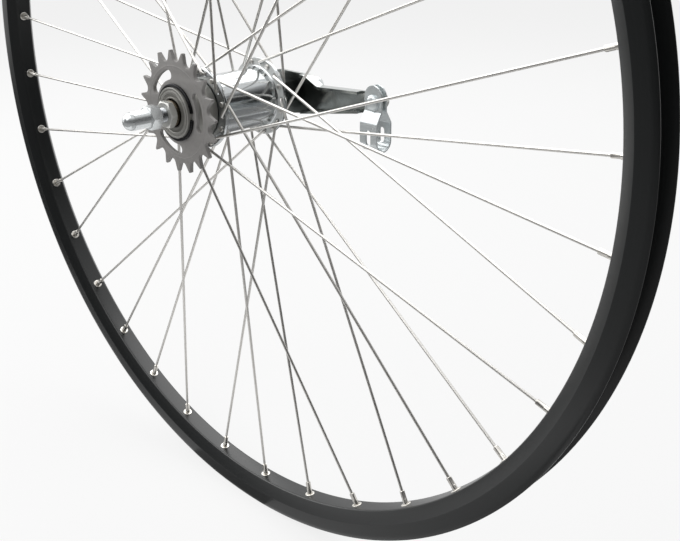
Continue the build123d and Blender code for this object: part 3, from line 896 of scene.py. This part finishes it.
def build_dust_cap():
    """Pressed dust cap with a rolled inner lip."""
    low, high = reach("dust_cap", "y")
    outline = rounded(
        [
            ((cap_lip_radii[0], low), broken_edge),
            ((cap_lip_radii[1], low), broken_edge),
            ((cap_step_radius, low + cap_step), broken_edge),
            ((driver_mouth_radius - seat_gap, low + cap_step), ground_edge),
            ((driver_mouth_radius - seat_gap, high), keen_edge),
            ((cap_lip_radii[0], high), keen_edge),
        ]
    )
    cap = lathed("dust_cap", outline, cap_sides)
    dress(cap, cap_finish, "driver_group", "cap_steel", "dust_cap")


def build_drive_cone():
    """Ground cone with a rounded ball track at its inner end."""
    low, high = reach("drive_cone", "y")
    outline = rounded(
        [
            ((axle_radius, low), ground_edge),
            ((cone_radius, low), worn_edge),
            ((cone_radius, high - cone_track_length), broken_edge),
            ((cone_radius - cone_track_depth, high), worn_edge),
            ((axle_radius, high), ground_edge),
        ]
    )
    cone = lathed("drive_cone", outline, cap_sides)
    dress(cone, cone_finish, "axle_group", "cone_steel", "drive_cone")


def build_brake_anchor():
    """Fixed cone of the brake: a dished closing disc, then a hexagon neck for the arm."""
    nose, end = reach("brake_anchor", "y")
    disc_inner, disc_outer = anchor_disc
    outline = rounded(
        [
            ((axle_radius, nose), ground_edge),
            ((anchor_nose_radius, nose), eased_edge),
            ((anchor_body_radius, nose + anchor_taper), anchor_taper_round),
            ((anchor_body_radius, disc_inner), soft_edge),
            ((anchor_disc_radius, disc_inner), worn_edge),
            ((anchor_disc_radius, disc_outer - anchor_disc_slope), anchor_disc_round),
            ((anchor_face_radius, disc_outer), anchor_disc_round),
            ((axle_radius, disc_outer), 0),
        ]
    )
    shape = bmesh.new()
    spin(shape, outline, turned_sides)
    neck = nut_rings(anchor_across_flats, disc_outer - anchor_neck_sink, end, axle_radius)
    loft(shape, neck, closed=True)
    # The anchor's dark finish is painted shade, which the arm mirrors
    dress(piece("brake_anchor", shape), anchor_shade_finish, "axle_group", "nut_steel", "brake_anchor")


def build_arm_clip():
    """Bent strap: an ear on each side of the arm and a slotted loop below."""
    middle_x = arm_eye[0]
    loop_sides = (arm_middle - strap_loop_half, arm_middle + strap_loop_half)
    bends = [
        ((strap_ears[0], strap_ear_top), 0),
        ((strap_ears[0], strap_neck), strap_neck_round),
        ((loop_sides[0], strap_loop_top), strap_loop_round),
        ((loop_sides[0], strap_loop_floor), strap_floor_round),
        ((loop_sides[1], strap_loop_floor), strap_floor_round),
        ((loop_sides[1], strap_loop_top), strap_loop_round),
        ((strap_ears[1], strap_neck), strap_neck_round),
        ((strap_ears[1], strap_ear_top), 0),
    ]
    path = rounded(bends, closed=False, steps=strap_steps)
    ear_round, flank = strap_width / 2, strap_edge_share
    ear_turns = [pi / 2 * step / strap_steps for step in range(strap_steps + 1)]
    ear_drops = [ear_round * (1 - cos(turn)) for turn in ear_turns]
    ear = [Vector((strap_ears[0], strap_ear_top - drop)) for drop in ear_drops]
    other_ear = [Vector((strap_ears[1], strap_ear_top - drop)) for drop in reversed(ear_drops)]
    path = ear + path[1:-1] + other_ear
    rings = []
    for place, point in enumerate(path):
        run = (path[min(place + 1, len(path) - 1)] - path[max(place - 1, 0)]).normalized()
        thick = Vector((0, -run.y, run.x)) * strap_thickness / 2
        from_end = min(max(strap_ear_top - point.y, 0), ear_round)
        half = max(sqrt(ear_round**2 - (ear_round - from_end) ** 2), eased_edge)
        edge = min(eased_edge, half / 2)
        middle = Vector((middle_x, point.x, point.y))
        corners = [
            (-half, -flank), (-half + edge, -1), (half - edge, -1), (half, -flank),
            (half, flank), (half - edge, 1), (-half + edge, 1), (-half, flank),
        ]
        rings.append([middle + Vector((across, 0, 0)) + thick * share for across, share in corners])
    shape = bmesh.new()
    loft(shape, rings)
    clip = piece("arm_clip", shape)
    width, length = strap_slot
    off_middle = (length - width) / 2
    slot = arc(width / 2, 0, pi, slot_end_steps, (middle_x, strap_slot_middle + off_middle))
    slot += arc(width / 2, pi, tau, slot_end_steps, (middle_x, strap_slot_middle - off_middle))
    hole = arc(bolt_hole_radius, 0, tau, bolt_hole_sides, arm_eye)[:-1]
    for loop in (slot, hole):
        cutter = flat_plate("cutter", [loop], arm_middle - punch_half, arm_middle + punch_half, 0)
        bored(clip, piece("punch", cutter))
    dress(clip, strap_finish, "axle_group", "clip_chrome", "arm_clip")


def build_clip_bolt():
    """Round-headed bolt through the clip's ears, and its nut behind."""
    low, high = reach("clip_bolt", "y")
    head_end = strap_ears[0] - strap_thickness / 2
    eye = Matrix.Translation((arm_eye[0], 0, arm_eye[1]))
    outline = [(0, low)]
    for step in range(1, bolt_dome_steps + 1):
        turn = pi / 2 * step / bolt_dome_steps
        outline.append((bolt_head_radius * sin(turn), low + bolt_dome * (1 - cos(turn))))
    outline += [(bolt_head_radius, head_end), (bolt_radius, head_end), (bolt_radius, high - bolt_tip)]
    outline += [(bolt_tip_radius, high), (0, high)]
    bolt = lathed("clip_bolt", outline, slim_sides, eye)
    dress(bolt, strap_finish, "axle_group", "clip_chrome", "clip_bolt")

    low, high = reach("clip_nut", "y")
    rings = nut_rings(clip_nut_across_flats, low, high, bolt_hole_radius)
    shape = bmesh.new()
    loft(shape, [[eye @ point for point in ring] for ring in rings], closed=True)
    dress(piece("clip_nut", shape, nut_sharp), nut_finish, "axle_group", "nut_steel", "clip_nut")


def dress_kept_nodes():
    """Finishes of the pieces whose solids are shown as they are, and round edges on the arm."""
    finishes = {
        "brake_arm": arm_finish,
        "clutch_cone": inner_finish,
        "mouth_ball_ring": inner_finish,
        "drive_ball_ring": inner_finish,
        "brake_ball_ring": inner_finish,
        "brake_shoe_upper": shoe_finish,
        "brake_shoe_lower": shoe_finish,
    }
    for node, finish in finishes.items():
        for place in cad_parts[node].material_slots:
            place.material = finish
    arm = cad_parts["brake_arm"]
    arm.modifiers.new("seams", "WELD").merge_threshold = arm_seam
    edges = arm.modifiers.new("edges", "BEVEL")
    edges.width = arm_edge_round
    edges.segments = arm_edge_steps
    edges.limit_method = "ANGLE"
    edges.angle_limit = arm_edge_angle


# Studio: a pale floor and room, with three soft lamps, each (place, size, power)
floor_level = cad_box[0][2]
floor_half = 30.0
floor_glow = 0.88
paper_colour, floor_seen_colour = "#f2f2f2", "#f8f8f8"
room_light = 0.45
room_light_colour, room_seen_colour = "#ffffff", "#f7f7f7"
lamps = {
    "key": ((-0.5, -1.3, 1.5), 2.0, 20),
    "side": ((-1.6, -0.5, 0.9), 1.4, 14),
    "back": ((-0.7, 1.0, 1.5), 2.0, 25),
}

# Dark sides of the studio, and the wheel's shadow painted on the floor, as glowing cards that only shine
# shows. A floor card has an outline, its height over the floor, and two pairs that grade it:
# (distance from under the wheel, brightness), near and far
room = 2.2
floor_cards = {
    # The open floor on the sprocket's side and past the arm's end
    "dark_floor": (
        [
            (-room, -0.08), (-0.48, -0.08), (-0.48, -0.33), (0.3, -0.33), (0.36, 0), (0.25, 0.4),
            (0.25, 1.6), (room, 1.6), (room, -room), (-room, -room),
        ],
        1 * MM, (0.2, 0.3), (room, 0.14),
    ),
    # The floor along the rim on the sprocket's side: painted shadow of the wheel, darker away from its
    # foot
    "rim_shade": (
        [
            (0.3, 0.012), (0, 0.012), (-0.16, 0.04), (-0.24, 0.04), (-0.26, -0.04), (-0.48, -0.08),
            (-0.48, -0.16), (-0.05, -0.09), (0.3, -0.3),
        ],
        1 * MM, (0.1, 0.66), (0.45, 0.05),
    ),
    # Painted contact shadow: the dark spot under the rim's foot
    "contact_shade": (
        [(-0.07, -0.03), (0.03, -0.03), (0.03, 0.012), (-0.07, 0.012)],
        2 * MM, (0, 0.2), (0.1, 0.3),
    ),
    # The darkest floor, far on the side away from the arm
    "left_shade": (
        [(-room, -0.08), (-0.5, -0.08), (-0.5, -0.22), (-0.86, -0.5), (-room, -1.1)],
        2 * MM, (0.5, 0.06), (room, 0.03),
    ),
    # The floor on the brake's side
    "back_shade": (
        [(-0.5, 0.24), (0.25, 0.24), (0.25, 1.6), (-0.9, 1.6)],
        1 * MM, (0.2, 0.2), (1.6, 0.1),
    ),
}
horizon_turn = (radians(-135), radians(50))
horizon_top = 2.4
horizon_sides = 48
horizon_near, horizon_far = (2.5, 0.03), (3.4, 0.7)

# Camera fitted to the photograph. Its offset runs to its right, up, and back from the wheel's centre
camera_lens, camera_sensor = 46.74, 36
camera_shift = (-0.0295, -0.0908)
camera_azimuth, camera_elevation = radians(43.75), radians(19.567)
camera_offset = (91.13 * MM, -76.46 * MM, 628.1 * MM)
camera_near = 0.01


def seen_directly(tree):
    """1 for rays from the camera, off gloss or through glass, which show the pale background."""
    rays = add_node(tree, "ShaderNodeLightPath").outputs
    two = add_node(
        tree, "ShaderNodeMath", {0: rays["Is Camera Ray"], 1: rays["Is Glossy Ray"]}, operation="MAXIMUM"
    )
    return add_node(
        tree, "ShaderNodeMath", {0: two.outputs[0], 1: rays["Is Transmission Ray"]}, operation="MAXIMUM"
    ).outputs[0]


def build_floor():
    """Pale floor that glows where it is seen, and keeps the wheel's shadow."""
    mesh = bpy.data.meshes.new("floor")
    half, level = floor_half, floor_level
    corners = [(-half, -half, level), (half, -half, level), (half, half, level), (-half, half, level)]
    mesh.from_pydata(corners, [], [(0, 1, 2, 3)])
    ground = bpy.data.objects.new("floor", mesh)
    bpy.context.collection.objects.link(ground)
    # White paper: matte and even, so that it shows nothing but the shadow
    paper = bpy.data.materials.new("white_paper_floor")
    paper.use_nodes = True
    paper.cycles.emission_sampling = "NONE"
    tree = paper.node_tree
    tree.nodes.clear()
    seen = seen_directly(tree)
    matte = add_node(tree, "ShaderNodeBsdfDiffuse", {"Color": linear(paper_colour)})
    glow = add_node(tree, "ShaderNodeEmission", {"Color": linear(floor_seen_colour)})
    share = add_node(tree, "ShaderNodeMath", {0: seen, 1: floor_glow}, operation="MULTIPLY")
    mixed = add_node(
        tree, "ShaderNodeMixShader", {0: share.outputs[0], 1: matte.outputs[0], 2: glow.outputs[0]}
    )
    add_node(tree, "ShaderNodeOutputMaterial", {"Surface": mixed.outputs[0]})
    mesh.materials.append(paper)


def build_room():
    """Soft even light from all round, in a room that is seen as pale."""
    world = bpy.data.worlds.new("studio")
    bpy.context.scene.world = world
    world.use_nodes = True
    tree = world.node_tree
    tree.nodes.clear()
    seen = seen_directly(tree)
    light, pale = linear(room_light_colour), linear(room_seen_colour)
    soft = add_node(tree, "ShaderNodeBackground", {"Color": light, "Strength": room_light})
    white = add_node(tree, "ShaderNodeBackground", {"Color": pale, "Strength": 1.0})
    mixed = add_node(tree, "ShaderNodeMixShader", {0: seen, 1: soft.outputs[0], 2: white.outputs[0]})
    add_node(tree, "ShaderNodeOutputWorld", {"Surface": mixed.outputs[0]})


def grey_card(name, points, faces, near, far):
    """Glowing card that only shine shows, as chrome shows a studio's dark sides or the wheel's painted
    shadow.

    Its brightness is graded between two (distance from under the wheel, brightness) pairs.
    """
    mesh = bpy.data.meshes.new(name)
    mesh.from_pydata(points, [], faces)
    card = bpy.data.objects.new(name, mesh)
    bpy.context.collection.objects.link(card)
    card.visible_camera = False
    card.visible_diffuse = False
    card.visible_transmission = False
    card.visible_shadow = False
    paint = bpy.data.materials.new(name + "_grey")
    paint.use_nodes = True
    paint.cycles.emission_sampling = "NONE"
    tree = paint.node_tree
    tree.nodes.clear()
    place = add_node(tree, "ShaderNodeTexCoord").outputs["Object"]
    under = (0, 0, floor_level)
    away = add_node(tree, "ShaderNodeVectorMath", {0: place, 1: under}, operation="DISTANCE")
    grades = {"From Min": near[0], "From Max": far[0], "To Min": near[1], "To Max": far[1]}
    graded = add_node(tree, "ShaderNodeMapRange", {"Value": away.outputs["Value"], **grades})
    glow = add_node(tree, "ShaderNodeEmission", {"Strength": graded.outputs["Result"]})
    add_node(tree, "ShaderNodeOutputMaterial", {"Surface": glow.outputs[0]})
    mesh.materials.append(paint)


def build_cards():
    """Grey cards on the floor and a dark arc of wall."""
    for name, (outline, lift, near, far) in floor_cards.items():
        points = [(x, y, floor_level + lift) for x, y in outline]
        grey_card(name, points, [tuple(range(len(points)))], near, far)
    around = arc(room, *horizon_turn, horizon_sides)
    points = [(x, y, height) for height in (floor_level, horizon_top) for x, y in around]
    row = len(around)
    panels = [(side, side + 1, side + row + 1, side + row) for side in range(horizon_sides)]
    grey_card("dark_horizon", points, panels, horizon_near, horizon_far)


def build_lamps():
    """Soft lamps that look at the hub."""
    for name, (place, size, power) in lamps.items():
        lamp = bpy.data.lights.new(name, "AREA")
        lamp.size = size
        lamp.energy = power
        holder = bpy.data.objects.new(name, lamp)
        holder.location = place
        holder.rotation_euler = (-Vector(place)).to_track_quat("-Z", "Y").to_euler()
        bpy.context.collection.objects.link(holder)


def build_camera():
    """Camera at the photograph's place, with plain colours."""
    lens = bpy.data.cameras.new("camera")
    lens.lens = camera_lens
    lens.sensor_width = camera_sensor
    lens.shift_x, lens.shift_y = camera_shift
    lens.clip_start = camera_near
    camera = bpy.data.objects.new("camera", lens)
    camera.rotation_euler = Euler((pi / 2 - camera_elevation, 0, camera_azimuth))
    camera.location = camera.rotation_euler.to_matrix() @ Vector(camera_offset)
    bpy.context.collection.objects.link(camera)
    bpy.context.scene.camera = camera
    bpy.context.scene.view_settings.view_transform = "Standard"


build_rim()
build_spokes()
build_nipples()
build_hub_shell()
build_axle()
build_axle_nuts()
build_locknuts()
build_driver()
build_sprocket()
build_snap_ring()
build_dust_cap()
build_drive_cone()
build_brake_anchor()
build_arm_clip()
build_clip_bolt()
dress_kept_nodes()
build_floor()
build_room()
build_cards()
build_lamps()
build_camera()
